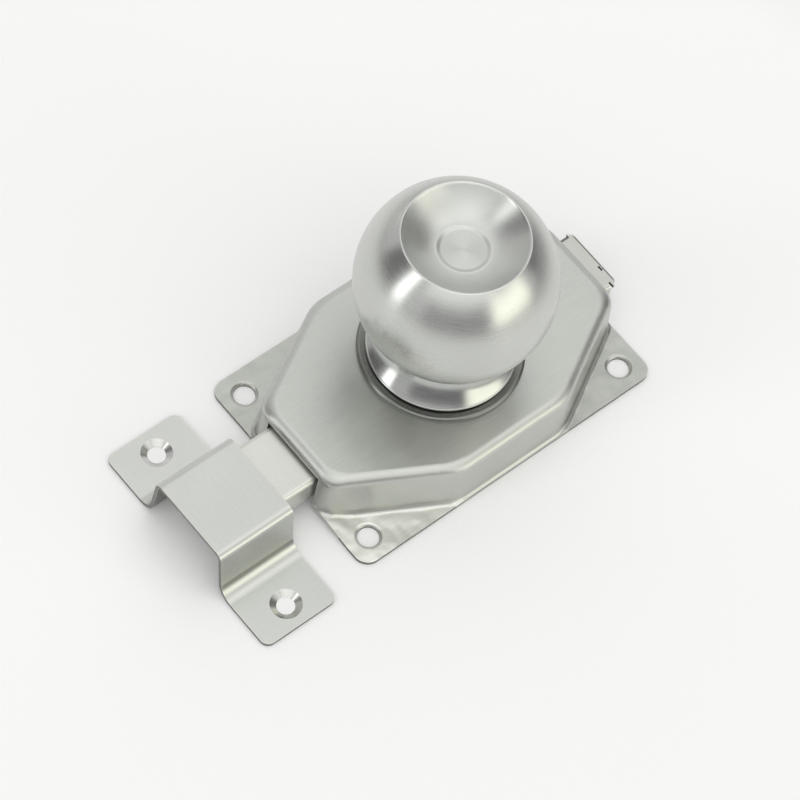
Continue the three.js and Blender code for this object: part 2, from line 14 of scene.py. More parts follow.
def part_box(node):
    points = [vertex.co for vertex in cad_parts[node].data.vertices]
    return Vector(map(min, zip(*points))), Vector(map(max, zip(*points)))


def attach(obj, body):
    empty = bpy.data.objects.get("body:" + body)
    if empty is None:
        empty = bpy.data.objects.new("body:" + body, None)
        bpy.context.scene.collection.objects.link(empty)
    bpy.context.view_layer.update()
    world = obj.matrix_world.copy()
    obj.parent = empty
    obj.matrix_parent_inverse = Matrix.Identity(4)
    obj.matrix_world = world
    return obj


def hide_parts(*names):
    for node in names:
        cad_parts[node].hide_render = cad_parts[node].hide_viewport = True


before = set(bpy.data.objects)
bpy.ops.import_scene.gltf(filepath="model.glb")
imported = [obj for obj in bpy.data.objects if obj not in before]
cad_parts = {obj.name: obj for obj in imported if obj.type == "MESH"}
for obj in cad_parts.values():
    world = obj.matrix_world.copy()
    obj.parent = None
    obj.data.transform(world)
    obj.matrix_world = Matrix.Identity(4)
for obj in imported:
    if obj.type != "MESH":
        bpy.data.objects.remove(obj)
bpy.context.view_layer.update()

MM = 0.001
QUARTER = math.pi / 2

# ------------------------------------------------------------------------------ places from the frame

spindle_low, spindle_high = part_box("spindle")
AXIS = Vector(((spindle_low.x + spindle_high.x) / 2, (spindle_low.y + spindle_high.y) / 2, 0))


def span(node):
    """A node's lowest and highest corners, in millimetres about the knob's axis."""
    low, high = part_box(node)
    return (low - AXIS) / MM, (high - AXIS) / MM


cover_low, cover_high = span("cover")
keeper_low, keeper_high = span("keeper")
bolt_low, bolt_high = span("bolt_channel")
_, ball_high = span("knob_ball")
rose_low, rose_high = span("rose_ring")
neck_low, neck_high = span("knob_neck")
cap_low, _ = span("knob_cap")

# --------------------------------------------------------------------------------- driving dimensions

SHEET = 1.2  # the thickness of the cover's and the bolt's sheet
LOOSE_FIT = 0.3  # the gap round a part that slides or turns
BEYOND = 1.0  # how far a cutter passes the face that it cuts
EDGE = 0.16  # the rounding of sharp edges, where a piece has none of its own
WELD = 1e-4  # points closer than this are one point
SOFTEN_ABOVE = math.radians(38)  # sharper edges than this are rounded
SHARP_ABOVE = math.radians(25)  # smoother edges than this are shaded smooth
ROUND = 160  # the segments of a turned piece
SMALL_ROUND = 72  # the segments of a hole
MOSTLY = 0.8  # a face looks mostly along an axis when this much of its normal does

# The cover's flat sheet, with a screw hole in each corner. Its front corner is what lies more than
# front_corner from the axis, both towards the keeper and towards the near side.
flange = Sizes(corner=4.0, hole_x=43.3, hole_y=26.0, hole_radius=2.9, lip=1.15, front_corner=8.0)

# The octagonal boss: where its corners are, how round they are at the foot and at the top, the rounding of
# its top and foot, and the slope of its walls.
boss = Sizes(
    end_half_width=14.8,
    side_half_length=18.2,
    end_x=49.6,
    side_y=32.0,
    corner=3.2,
    top_corner=5.4,
    top_fillet=3.0,
    foot_fillet=1.5,
    draft=0.035,
)

# How the flange stands off the door beside the slot: by height out to full from the middle, and less and
# less out to to. It also fades from the nose end in to inner, and up the wall to fade. The faces there are
# split at these places, so that they can bend.
lift = Sizes(
    height=1.3,
    full=16.0,
    to=26.5,
    inner=43.0,
    fade=9.0,
    splits_x=range(-49, -41),
    splits_y=range(-28, -10, 2),
)

# The bolt's opening in each end of the boss, and the ring on top of it.
slot = Sizes(front=-10.4, back=10.35, top=14.3)
rose = Sizes(bore=7.0, edge=0.9)

# The sliding bar. Its tail is a flat plate for tail_flat, with its slopes over tail_reach and its top over
# dark_rim painted dark: partly a dark burr, partly a painted shadow line round its edge. Play is how far
# the bar lies askew, in degrees.
bolt = Sizes(
    bend=0.85,
    edge=0.25,
    plan_radius=2.0,
    throw=19.8,
    tail_flat=1.5,
    tail_reach=3.0,
    dark_rim=0.45,
    relief=0.6,
    relief_depth=1.5,
    play=-0.4,
)
tail_mark = Sizes(middle=-3.6, half_length=0.8, start=0.2, end=0.9)

# What drives the bolt, inside the boss.
crank = Sizes(radius=14.0, half_turn=math.pi / 4)
pin = Sizes(radius=2.0)
spindle = Sizes(radius=4.0)
ear = Sizes(half_length=8.0, reach=18.6, relief=2.5, corner=2.5)

# The spun knob: radii, heights over the door, and the share of the neck's curve that is left out.
knob = Sizes(
    wall=1.0,
    rim=16.5,
    rim_round=0.55,
    neck_radius=14.3,
    flare_top=33.0,
    flare_cut=0.6,
    opening=14.9,
    lip=0.8,
)
dish = Sizes(depth=5.6, curve=1.7, wall=0.9, rim_gap=0.004, cap_radius=7.2)
cap = Sizes(gap=0.01, sunk=0.04, step=0.4, step_width=1.5)

# The keeper, a hat bent from one sheet: foot_spread is how far each leg leans out.
keeper = Sizes(
    sheet=1.15,
    top_half_length=13.35,
    foot_spread=2.0,
    bend=2.0,
    foot_bend=5.0,
    corner=2.4,
    hole_y=27.1,
    hole_radius=2.45,
    sink_radius=4.3,
    plain_depth=0.1,
)

# ------------------------------------------------------------------------------- outlines and meshes


def sweep(start, end, steps):
    """Evenly spaced values, both ends included."""
    return [start + (end - start) * i / steps for i in range(steps + 1)]


def arc(centre, radius, start, end, steps):
    """Points along an arc, both ends included."""
    angles = sweep(start, end, steps)
    return [(centre[0] + radius * math.cos(a), centre[1] + radius * math.sin(a)) for a in angles]


def rounded(corners, reach, steps=10, inset=0.0):
    """A convex outline, anticlockwise, moved inwards by inset.

    Each corner is rounded by an arc from reach before it to reach after it.
    """
    outline = []
    count = len(corners)
    for i, corner in enumerate(corners):
        here = Vector(corner)
        inward = (here - Vector(corners[i - 1])).normalized()
        outward = (Vector(corners[(i + 1) % count]) - here).normalized()
        normals = Vector((-inward.y, inward.x)), Vector((-outward.y, outward.x))
        here = here + (normals[0] + normals[1]) * (inset / (1 + normals[0].dot(normals[1])))
        turn = math.atan2(inward.x * outward.y - inward.y * outward.x, inward.dot(outward))
        radius = reach / math.tan(turn / 2)
        centre = here - inward * reach + normals[0] * radius
        start = math.atan2(-normals[0].y, -normals[0].x)
        outline += arc(centre, radius, start, start + turn, steps)
    return outline


def rectangle(low_x, high_x, low_y, high_y):
    """The corners of a rectangle, anticlockwise."""
    return [(low_x, low_y), (high_x, low_y), (high_x, high_y), (low_x, high_y)]


def folded(corners, thickness, bends, steps=8):
    """The closed outline of a strip of sheet whose middle runs through the corners.

    It is folded at each inner corner, to the bend radius that bends gives for it, at the sheet's middle.
    """
    left, right = [], []
    for i, corner in enumerate(corners):
        here = Vector(corner)
        last = i == len(corners) - 1
        inward = (Vector(corners[1]) - here if i == 0 else here - Vector(corners[i - 1])).normalized()
        outward = inward if last else (Vector(corners[i + 1]) - here).normalized()
        turn = math.atan2(inward.x * outward.y - inward.y * outward.x, inward.dot(outward))
        normal = Vector((-inward.y, inward.x))
        if abs(turn) < 1e-6:
            middles = [(here, normal)]
        else:
            bend = bends[i - 1]
            start = here - inward * (bend * math.tan(abs(turn) / 2))
            centre = start + normal * math.copysign(bend, turn)
            turns = [Matrix.Rotation(angle, 2) for angle in sweep(0, turn, steps)]
            middles = [(centre + t @ (start - centre), t @ normal) for t in turns]
        for place, across in middles:
            left.append(tuple(place + across * (thickness / 2)))
            right.append(tuple(place - across * (thickness / 2)))
    return left + right[::-1]


def mesh_object(name, vertices, faces):
    """An object with a mesh of its own, its points welded and its normals outwards."""
    mesh = bpy.data.meshes.new(name)
    mesh.from_pydata(vertices, [], faces)
    work = bmesh.new()
    work.from_mesh(mesh)
    bmesh.ops.remove_doubles(work, verts=work.verts, dist=WELD)
    bmesh.ops.recalc_face_normals(work, faces=work.faces)
    work.to_mesh(mesh)
    work.free()
    piece = bpy.data.objects.new(name, mesh)
    bpy.context.scene.collection.objects.link(piece)
    return piece


def lofted(name, loops, cyclic=False):
    """A closed body through loops of points, capped at both ends unless the last loop meets the first."""
    size = len(loops[0])
    faces = []
    for i in range(len(loops) if cyclic else len(loops) - 1):
        here, there = i * size, (i + 1) % len(loops) * size
        for k in range(size):
            following = (k + 1) % size
            faces.append((here + k, here + following, there + following, there + k))
    if not cyclic:
        faces.append(tuple(range(size)))
        faces.append(tuple(range((len(loops) - 1) * size, len(loops) * size)))
    return mesh_object(name, [point for loop in loops for point in loop], faces)


def turned(name, profile, segments=ROUND, centre=(0, 0)):
    """A closed profile of (radius, height) points turned round an upright line."""
    loops = []
    for angle in sweep(0, 2 * math.pi, segments)[:-1]:
        along, across = math.cos(angle), math.sin(angle)
        loops.append([(centre[0] + r * along, centre[1] + r * across, z) for r, z in profile])
    return lofted(name, loops, cyclic=True)


def upright(name, outline, bottom, top):
    """A body with an outline of (x, y) points as its plan."""
    return lofted(name, [[(x, y, z) for x, y in outline] for z in (bottom, top)])


def along_x(name, outline, start, end):
    """A body with an outline of (y, z) points as its section."""
    return lofted(name, [[(x, y, z) for y, z in outline] for x in (start, end)])


def block(name, low, high):
    """A box between two corners."""
    return upright(name, rectangle(low[0], high[0], low[1], high[1]), low[2], high[2])


def bake(piece):
    """Applies the piece's modifiers."""
    graph = bpy.context.evaluated_depsgraph_get()
    mesh = bpy.data.meshes.new_from_object(piece.evaluated_get(graph))
    piece.modifiers.clear()
    piece.data = mesh


def combine(piece, operation, *others):
    """Joins, cuts or intersects a piece with others, which are used up."""
    for other in others:
        modifier = piece.modifiers.new("combine", "BOOLEAN")
        modifier.operation = operation
        modifier.solver = "MANIFOLD"
        modifier.object = other
        bake(piece)
        bpy.data.objects.remove(other)
    return piece


def join(piece, *others):
    return combine(piece, "UNION", *others)


def cut(piece, *others):
    return combine(piece, "DIFFERENCE", *others)


def keep_within(piece, *others):
    return combine(piece, "INTERSECT", *others)


def soften(piece, width, steps=3):
    """Rounds the sharp edges."""
    modifier = piece.modifiers.new("soften", "BEVEL")
    modifier.width = width
    modifier.segments = steps
    modifier.limit_method = "ANGLE"
    modifier.angle_limit = SOFTEN_ABOVE
    modifier.use_clamp_overlap = True
    bake(piece)


def add_piece(piece, body, finish, nodes, edge=EDGE, place=(0, 0, 0), turn=0.0):
    """Softens a shape's edges, sets it in the frame, and has it ride on a body in place of its CAD nodes."""
    if edge:
        soften(piece, edge)
    piece.data.transform(Matrix.Scale(MM, 4) @ Matrix.Translation(place) @ Matrix.Rotation(turn, 4, "Z"))
    piece.location = AXIS
    piece.data.shade_smooth()
    piece.data.set_sharp_from_angle(angle=SHARP_ABOVE)
    normals = piece.modifiers.new("normals", "WEIGHTED_NORMAL")
    normals.keep_sharp = True
    piece.data.materials.clear()
    piece.data.materials.append(finish)
    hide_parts(*nodes)
    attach(piece, body)


def finish_faces(piece, finish, chosen):
    """Gives another finish to the faces that chosen picks by centre, in millimetres, and normal."""
    piece.data.materials.append(finish)
    index = len(piece.data.materials) - 1
    for face in piece.data.polygons:
        if chosen(face.center / MM, face.normal):
            face.material_index = index


def is_upright(normal):
    """Whether a face stands nearly upright."""
    return abs(normal.z) < 0.3


def refinish(finish, *nodes):
    """Gives a finish to CAD nodes that are shown as they are."""
    for name in nodes:
        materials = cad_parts[name].data.materials
        materials.clear()
        materials.append(finish)


# ------------------------------------------------------------------------------------------ finishes

# What every steel has besides its grain. A scale is in features to the metre, and the rest is how much each
# thing changes the roughness, the tone or the relief. An edge is worn where the surface, smoothed over the
# wear's width, turns from flat to bent, and its tone is lightened there as a painted glint.
smudge = Sizes(scale=55.0, rough=0.03, shade=0.04)
speck = Sizes(scale=2600.0, shade=0.02, relief=0.3)
edge_wear_and_glint = Sizes(width=0.45, flat=0.999, bent=0.93, patchy=0.35, rough=0.08, shade=0.22)
LINE_HEIGHT = 0.01  # of the grain's relief
RING_LENGTH = 4.0  # how often turned lines change on their way round


def node(tree, kind, inputs=None, **settings):
    """Adds a shader node; an input is a value, or another node's output."""
    made = tree.nodes.new("ShaderNode" + kind)
    for name, value in settings.items():
        setattr(made, name, value)
    for name, value in (inputs or {}).items():
        if isinstance(value, bpy.types.NodeSocket):
            tree.links.new(value, made.inputs[name])
        else:
            made.inputs[name].default_value = value
    return made


def maths(tree, operation, first, second=0.0):
    return node(tree, "Math", {0: first, 1: second}, operation=operation).outputs[0]


def ranged(tree, value, low, high, to_low, to_high):
    """A value between low and high, mapped to the range between to_low and to_high."""
    inputs = {"Value": value, "From Min": low, "From Max": high, "To Min": to_low, "To Max": to_high}
    return node(tree, "MapRange", inputs).outputs["Result"]


def stepped(tree, value, start, end):
    """A smooth step from 0 at start to 1 at end."""
    inputs = {"Value": value, "From Min": start, "From Max": end}
    return node(tree, "MapRange", inputs, interpolation_type="SMOOTHSTEP").outputs["Result"]


def noise(tree, places, scale, detail, roughness, fourth=None):
    """A noise texture, in four dimensions if a fourth one is given; roughness is how strong its detail is."""
    inputs = {"Vector": places, "Scale": scale, "Detail": detail, "Roughness": roughness}
    if fourth is None:
        return node(tree, "TexNoise", inputs)
    return node(tree, "TexNoise", inputs | {"W": fourth}, noise_dimensions="4D")


def varied(tree, texture, middle, swing, reach=0.2):
    """A noise that strays by reach from its own middle, mapped to one that strays by swing from this one."""
    low, high = 0.5 - reach, 0.5 + reach
    return ranged(tree, texture.outputs["Fac"], low, high, middle - swing, middle + swing)


def straight_grain(tree, places, along, pitch, length):
    """Noise drawn out into fine lines along one axis of the piece."""
    scale = [length if name == along else pitch for name in "xyz"]
    lines = node(tree, "Mapping", {"Vector": places, "Scale": scale})
    return noise(tree, lines.outputs[0], scale=1.0, detail=3.0, roughness=0.6)


def turned_grain(tree, places, pitch, length):
    """Noise drawn out into fine rings round the piece's own Z axis."""
    parts = node(tree, "SeparateXYZ", {0: places})
    flat = node(tree, "CombineXYZ", {0: parts.outputs[0], 1: parts.outputs[1]})
    radius = node(tree, "VectorMath", {0: flat.outputs[0]}, operation="LENGTH").outputs["Value"]
    direction = node(tree, "VectorMath", {0: flat.outputs[0]}, operation="NORMALIZE").outputs[0]
    around = node(tree, "SeparateXYZ", {0: direction})
    lines = node(tree, "CombineXYZ", {
        0: maths(tree, "MULTIPLY", radius, pitch),
        1: maths(tree, "MULTIPLY", parts.outputs[2], pitch),
        2: maths(tree, "MULTIPLY", around.outputs[0], length),
    })
    fourth = maths(tree, "MULTIPLY", around.outputs[1], length)
    return noise(tree, lines.outputs[0], scale=1.0, detail=3.0, roughness=0.6, fourth=fourth)


def worn_and_glinting_edges(tree, smudges):
    """Up to 1 along bent edges, in patches, and 0 on flat faces; these edges are worn, with a painted glint.
    """
    bevel = node(tree, "Bevel", {"Radius": edge_wear_and_glint.width * MM}, samples=6)
    surface = node(tree, "NewGeometry")
    sides = {0: bevel.outputs[0], 1: surface.outputs["Normal"]}
    match = node(tree, "VectorMath", sides, operation="DOT_PRODUCT").outputs["Value"]
    edges = ranged(tree, match, edge_wear_and_glint.flat, edge_wear_and_glint.bent, 0.0, 1.0)
    return maths(tree, "MULTIPLY", edges, varied(tree, smudges, 1 - edge_wear_and_glint.patchy, edge_wear_and_glint.patchy))


def steel(
    name,
    color,
    roughness,
    grain="turned",
    anisotropy=0.0,
    pitch=3200,
    length=90,
    mark=0.06,
    relief=0.5,
    lines_shade=0.06,
    ripple=0.0,
    waves=60,
):
    """Steel with fine grain lines, soft smudges, a slight ripple, and worn edges with a painted glint.

    The grain runs along x, y or z, or is turned round Z. Pitch is how fine its lines are, and length how
    short, where they are straight. Mark is what the lines change in the roughness, relief how strongly they
    stand out, and lines_shade what they change in the tone. Ripple is the height of slow swells in
    millimetres, and waves how close together these are.
    """
    material = bpy.data.materials.new(name)
    material.use_nodes = True
    tree = material.node_tree
    tree.nodes.clear()
    places = node(tree, "TexCoord").outputs["Object"]
    if grain == "turned":
        lines = turned_grain(tree, places, pitch, RING_LENGTH)
    else:
        lines = straight_grain(tree, places, grain, pitch, length)
    smudges = noise(tree, places, smudge.scale, detail=3.0, roughness=0.55)
    specks = noise(tree, places, speck.scale, detail=2.0, roughness=0.6)
    wear_and_glint = worn_and_glinting_edges(tree, smudges)

    rough = varied(tree, lines, roughness, mark, reach=0.25)
    rough = maths(tree, "ADD", rough, varied(tree, smudges, 0, smudge.rough))
    rough = maths(tree, "SUBTRACT", rough, maths(tree, "MULTIPLY", wear_and_glint, edge_wear_and_glint.rough))

    shade = varied(tree, lines, 1, lines_shade, reach=0.25)
    shade = maths(tree, "MULTIPLY", shade, varied(tree, specks, 1, speck.shade))
    shade = maths(tree, "MULTIPLY", shade, varied(tree, smudges, 1, smudge.shade))
    # Worn edges are made lighter: a painted glint along them.
    shade = maths(tree, "ADD", shade, maths(tree, "MULTIPLY", wear_and_glint, edge_wear_and_glint.shade))
    tone = node(tree, "VectorMath", {0: color, "Scale": shade}, operation="SCALE")

    height = maths(tree, "MULTIPLY", specks.outputs["Fac"], speck.relief)
    height = maths(tree, "ADD", lines.outputs["Fac"], height)
    bump = node(tree, "Bump", {"Strength": relief, "Distance": LINE_HEIGHT * MM, "Height": height})
    if ripple:
        swell = noise(tree, places, waves, detail=1.0, roughness=0.5)
        inputs = {"Strength": 1.0, "Distance": ripple * MM, "Height": swell.outputs["Fac"]}
        rippled = node(tree, "Bump", inputs)
        tree.links.new(rippled.outputs[0], bump.inputs["Normal"])

    shader = node(tree, "BsdfPrincipled", {
        "Base Color": tone.outputs[0],
        "Metallic": 1.0,
        "Roughness": rough,
        "Anisotropic": anisotropy,
        "Normal": bump.outputs[0],
    })
    if grain == "turned":
        tangent = node(tree, "Tangent", direction_type="RADIAL", axis="Z")
        shader.inputs["Anisotropic Rotation"].default_value = 0.25
    else:
        across = (0, 1, 0) if grain == "x" else (1, 0, 0)
        spaces = {"convert_from": "OBJECT", "convert_to": "WORLD"}
        tangent = node(tree, "VectorTransform", {0: across}, vector_type="VECTOR", **spaces)
    tree.links.new(tangent.outputs[0], shader.inputs["Tangent"])
    output = node(tree, "OutputMaterial")
    tree.links.new(shader.outputs[0], output.inputs["Surface"])
    return material


cover_grain = {"grain": "x", "anisotropy": 0.2, "pitch": 5200, "length": 130}
keeper_grain = {"pitch": 5200, "length": 150, "mark": 0.10}
knob_grain = {"anisotropy": 0.7, "pitch": 6500, "mark": 0.05, "relief": 0.12, "lines_shade": 0.05}

satin = steel(
    "satin_cover",
    (0.54, 0.55, 0.52),
    0.36,
    **cover_grain,
    mark=0.05,
    relief=0.2,
    lines_shade=0.07,
    ripple=0.13,
)
# The flange's copy of the cover's satin, darker: painted shade.
satin_flange_painted_shade = steel(
    "satin_flange_painted_shade",
    (0.455, 0.465, 0.435),
    0.32,
    **cover_grain,
    relief=0.2,
    lines_shade=0.07,
    ripple=0.5,
    waves=150,
)
# A lighter copy of the cover's satin for the lifted front corner, where light catches it: painted light.
satin_front_painted_light = steel(
    "satin_front_painted_light",
    (0.74, 0.75, 0.70),
    0.40,
    **cover_grain,
    relief=0.3,
    lines_shade=0.09,
    ripple=0.7,
    waves=190,
)
# A darker copy of the bolt's satin for its tail beyond the cover: painted shade.
satin_tail_painted_shade = steel("satin_tail_painted_shade", (0.56, 0.57, 0.535), 0.36, grain="y", anisotropy=0.2, relief=0.2)
# The rose ring's steel is dark: painted shade under the knob, and a painted dark reflection of the ball's
# underside.
satin_ring_painted_shade = steel("satin_ring_painted_shade", (0.235, 0.24, 0.225), 0.30, anisotropy=0.3, relief=0.2)
satin_bolt = steel(
    "satin_bolt",
    (0.70, 0.705, 0.66),
    0.40,
    grain="y",
    anisotropy=0.3,
    relief=0.3,
    ripple=0.05,
)
brushed = steel(
    "brushed_keeper",
    (0.60, 0.61, 0.58),
    0.36,
    **keeper_grain,
    grain="y",
    anisotropy=0.5,
    relief=0.8,
    lines_shade=0.085,
)
# The keeper's legs, grained upright as bent: a darker copy of the keeper's steel, as painted shade.
brushed_leg_painted_shade = steel(
    "brushed_leg_painted_shade",
    (0.48, 0.49, 0.465),
    0.34,
    **keeper_grain,
    grain="z",
    anisotropy=0.5,
    relief=0.8,
    lines_shade=0.11,
)
# Near-black steel for the keeper's folds and the legs' inner faces: painted shade.
painted_shade_fold = steel("painted_shade_fold", (0.30, 0.305, 0.29), 0.42, **keeper_grain, grain="z")
machined = steel("machined_sink", (0.64, 0.645, 0.62), 0.20, grain="y", mark=0.03, relief=0.2)
# Dark steel for the sheets' upright cut edges: partly a duller sheared edge, partly a painted contact shadow
# along it.
sheared_and_shadowed = steel("sheared_edge_painted_shadow", (0.22, 0.22, 0.205), 0.42, grain="x", pitch=1500, length=400)
spun = steel("spun_knob", (0.60, 0.61, 0.585), 0.25, **knob_grain)
spun_face = steel("spun_face", (0.60, 0.61, 0.585), 0.37, **knob_grain)
polished = steel("polished_neck", (0.50, 0.51, 0.49), 0.14, anisotropy=0.6, mark=0.05, relief=0.2)
plated = steel("plated_inside", (0.50, 0.52, 0.55), 0.4, anisotropy=0.2)
dark_spring = steel("spring_inside", (0.32, 0.33, 0.35), 0.35, anisotropy=0.2)

# ------------------------------------------------------------------------------------------- the cover


def screw_hole_cutter(x, y, radius, lip):
    """A punched hole whose mouth rolls over from the sheet's top face."""
    mouth = arc((radius + lip, SHEET - lip), lip, math.pi, QUARTER, steps=8)
    profile = [(0, -BEYOND), (radius, -BEYOND), *mouth, (radius + lip, SHEET + BEYOND), (0, SHEET + BEYOND)]
    return turned("hole", profile, SMALL_ROUND, (x, y))


def boss_body(name, inset, top, fillet, foot):
    """The octagonal boss: a foot flare, drafted walls and a rounded top edge, moved in by inset."""
    b = boss
    corners = [
        (b.end_x, -b.end_half_width),
        (b.end_x, b.end_half_width),
        (b.side_half_length, b.side_y),
        (-b.side_half_length, b.side_y),
        (-b.end_x, b.end_half_width),
        (-b.end_x, -b.end_half_width),
        (-b.side_half_length, -b.side_y),
        (b.side_half_length, -b.side_y),
    ]
    stations = []
    if foot:
        stations.append((inset - foot, SHEET / 2, b.corner))
        for a in sweep(0, QUARTER, steps=6):
            stations.append((inset - foot * (1 - math.sin(a)), SHEET + foot * (1 - math.cos(a)), b.corner))
    else:
        stations.append((inset, -BEYOND, b.corner))
    reaches = sweep(b.corner, b.top_corner, steps=12)
    for a, reach in zip(sweep(0, QUARTER, steps=12), reaches):
        offset = inset + b.draft * top + fillet * (1 - math.cos(a))
        stations.append((offset, top - fillet * (1 - math.sin(a)), reach))
    loops = []
    for offset, z, reach in stations:
        outline = rounded(corners, reach, steps=12, inset=offset)
        loops.append([(x, y, z) for x, y in outline])
    return lofted(name, loops)


def smooth_step(value, start, end):
    """A smooth step from 0 at start to 1 at end."""
    share = min(max((value - start) / (end - start), 0), 1)
    return share * share * (3 - 2 * share)


def split_faces(piece, planes):
    """Splits the piece's faces along planes, each given as a point and a normal."""
    work = bmesh.new()
    work.from_mesh(piece.data)
    for place, normal in planes:
        everything = work.verts[:] + work.edges[:] + work.faces[:]
        bmesh.ops.bisect_plane(work, geom=everything, plane_co=place, plane_no=normal)
    work.to_mesh(piece.data)
    work.free()


def lift_corner(piece):
    """The pressed sheet stands off the door a little beside the bolt's slot, at the front of the nose end."""
    split_faces(piece, [((x, 0, 0), (1, 0, 0)) for x in lift.splits_x])
    split_faces(piece, [((0, y, 0), (0, 1, 0)) for y in lift.splits_y])
    for vertex in piece.data.vertices:
        x, y, z = vertex.co
        if y < 0:
            beside = smooth_step(y, -lift.to, -lift.full) * smooth_step(-x, lift.inner, cover_high.x)
            vertex.co.z += lift.height * beside * (1 - smooth_step(z, SHEET, lift.fade))


def make_cover():
    """The pressed cover: a flange with four screw holes, and a boss with a slot for the bolt at each end."""
    b = boss
    top = cover_high.z
    plan = rounded(rectangle(cover_low.x, cover_high.x, cover_low.y, cover_high.y), flange.corner)
    cover = upright("knob_cover", plan, 0, SHEET)
    join(cover, boss_body("outside", 0, top, b.top_fillet, b.foot_fillet))
    keep_within(cover, upright("plan", plan, -BEYOND, top + BEYOND))
    cut(cover, boss_body("inside", SHEET, top - SHEET, b.top_fillet - SHEET, 0))
    reach = 4 * SHEET
    for side in (-1, 1):
        low = (side * b.end_x - reach, slot.front, -BEYOND)
        high = (side * b.end_x + reach, slot.back, slot.top)
        cut(cover, block("notch", low, high))
        for across in (-1, 1):
            place = (side * flange.hole_x, across * flange.hole_y)
            cut(cover, screw_hole_cutter(*place, flange.hole_radius, flange.lip))
    bush_outline = rectangle(0, rose.bore, top - 3 * SHEET, top + BEYOND)
    cut(cover, turned("bush_hole", bush_outline, SMALL_ROUND))
    lift_corner(cover)
    add_piece(cover, "fixed", satin, ["cover"])

    def on_flange(centre, normal):
        return normal.z > MOSTLY and centre.z < SHEET + lift.height

    def on_front_corner(centre, normal):
        return on_flange(centre, normal) and max(centre.xy) < -flange.front_corner

    def on_outer_edge(centre, normal):
        return is_upright(normal) and centre.z < SHEET

    # The flat flange is painted darker, as shade.
    finish_faces(cover, satin_flange_painted_shade, on_flange)
    # The flange's front corner is painted lighter, as light falling on it.
    finish_faces(cover, satin_front_painted_light, on_front_corner)
    # The flange's upright cut edges are dark: painted contact shadow, with a duller sheared edge.
    finish_faces(cover, sheared_and_shadowed, on_outer_edge)


def make_rose_ring():
    """The flat ring on the cover round the knob, with a rounded outer edge."""
    bottom = rose_low.z
    top = neck_low.z - 2 * LOOSE_FIT
    radius = rose_high.x
    outer = arc((radius - rose.edge, top - rose.edge), rose.edge, 0, QUARTER, steps=8)
    profile = [(rose.bore, bottom), (radius, bottom), *outer, (rose.bore, top)]
    # The ring's dark finish is painted shade under the knob.
    add_piece(turned("knob_rose", profile), "fixed", satin_ring_painted_shade, ["rose_ring"], edge=0)


# ------------------------------------------------------------------------------------------ the keeper


def make_keeper():
    """The hat of brushed sheet that the bolt slides into, with a countersunk hole in each foot."""
    k = keeper
    x = (keeper_low.x + keeper_high.x) / 2
    y = (keeper_low.y + keeper_high.y) / 2
    half_width = (keeper_high.x - keeper_low.x) / 2
    half_length = (keeper_high.y - keeper_low.y) / 2
    low, high = k.sheet / 2, keeper_high.z - k.sheet / 2
    corner = k.top_half_length - k.sheet / 2
    section = folded([
        (-half_length, low),
        (-corner - k.foot_spread, low),
        (-corner, high),
        (corner, high),
        (corner + k.foot_spread, low),
        (half_length, low),
    ], k.sheet, (k.foot_bend, k.bend, k.bend, k.foot_bend), steps=12)
    piece = along_x("keeper_hat", section, -half_width, half_width)
    plan = rounded(rectangle(-half_width, half_width, -half_length, half_length), k.corner)
    keep_within(piece, upright("plan", plan, -BEYOND, keeper_high.z + BEYOND))
    slope = (k.sink_radius - k.hole_radius) / (k.sheet - k.plain_depth)
    profile = [
        (0, -BEYOND),
        (k.hole_radius, -BEYOND),
        (k.hole_radius, k.plain_depth),
        (k.sink_radius + slope * BEYOND, k.sheet + BEYOND),
        (0, k.sheet + BEYOND),
    ]
    for side in (-1, 1):
        cut(piece, turned("hole", profile, SMALL_ROUND, (0, side * k.hole_y)))
    add_piece(piece, "fixed", brushed, ["keeper"], place=(x, y, 0))

    def on_leg(centre, normal):
        return abs(normal.y) > MOSTLY

    def in_fold(centre, normal):
        leans_back = 0.08 < normal.z < 0.42
        return leans_back and on_leg(centre, normal) and centre.z < keeper_high.z / 2

    def inside(centre, normal):
        looks_in = normal.y * (centre.y - y) < 0
        return looks_in and normal.z < 0.1 and abs(normal.x) < 0.5

    def on_edge(centre, normal):
        looks_along_bolt = abs(normal.x) > 0.9
        return looks_along_bolt or (is_upright(normal) and centre.z < k.sheet)

    def on_sink(centre, normal):
        from_hole = min(math.dist(centre.xy, (x, y + side * k.hole_y)) for side in (-1, 1))
        slopes = normal.z < 0.98
        return slopes and from_hole < k.sink_radius + EDGE

    # The legs are painted darker, as shade.
    finish_faces(piece, brushed_leg_painted_shade, on_leg)
    # Painted shade: a dark band low in each leg where it bends into its foot, and the legs' inner faces under
    # the arch.
    finish_faces(piece, painted_shade_fold, in_fold)
    finish_faces(piece, painted_shade_fold, inside)
    # The keeper's cut edges are dark: painted contact shadow, with a duller sheared edge.
    finish_faces(piece, sheared_and_shadowed, on_edge)
    finish_faces(piece, machined, on_sink)


# -------------------------------------------------------------------------------------------- the bolt


def slot_outline(start, end, half_width, steps=12):
    """A slot with round ends, whose arcs have their centres at start and end."""
    angle = math.atan2(end[1] - start[1], end[0] - start[0])
    return [
        *arc(end, half_width, angle - QUARTER, angle + QUARTER, steps),
        *arc(start, half_width, angle + QUARTER, angle + 3 * QUARTER, steps),
    ]


def cam_path(steps=12):
    """The crank pin's path across the bolt, whose travel is in proportion to the knob's turn."""
    path = []
    for angle in sweep(-crank.half_turn, crank.half_turn, steps):
        lag = bolt.throw * angle / (2 * crank.half_turn)
        path.append((crank.radius * math.sin(angle) - lag, crank.radius * math.cos(angle)))
    return path


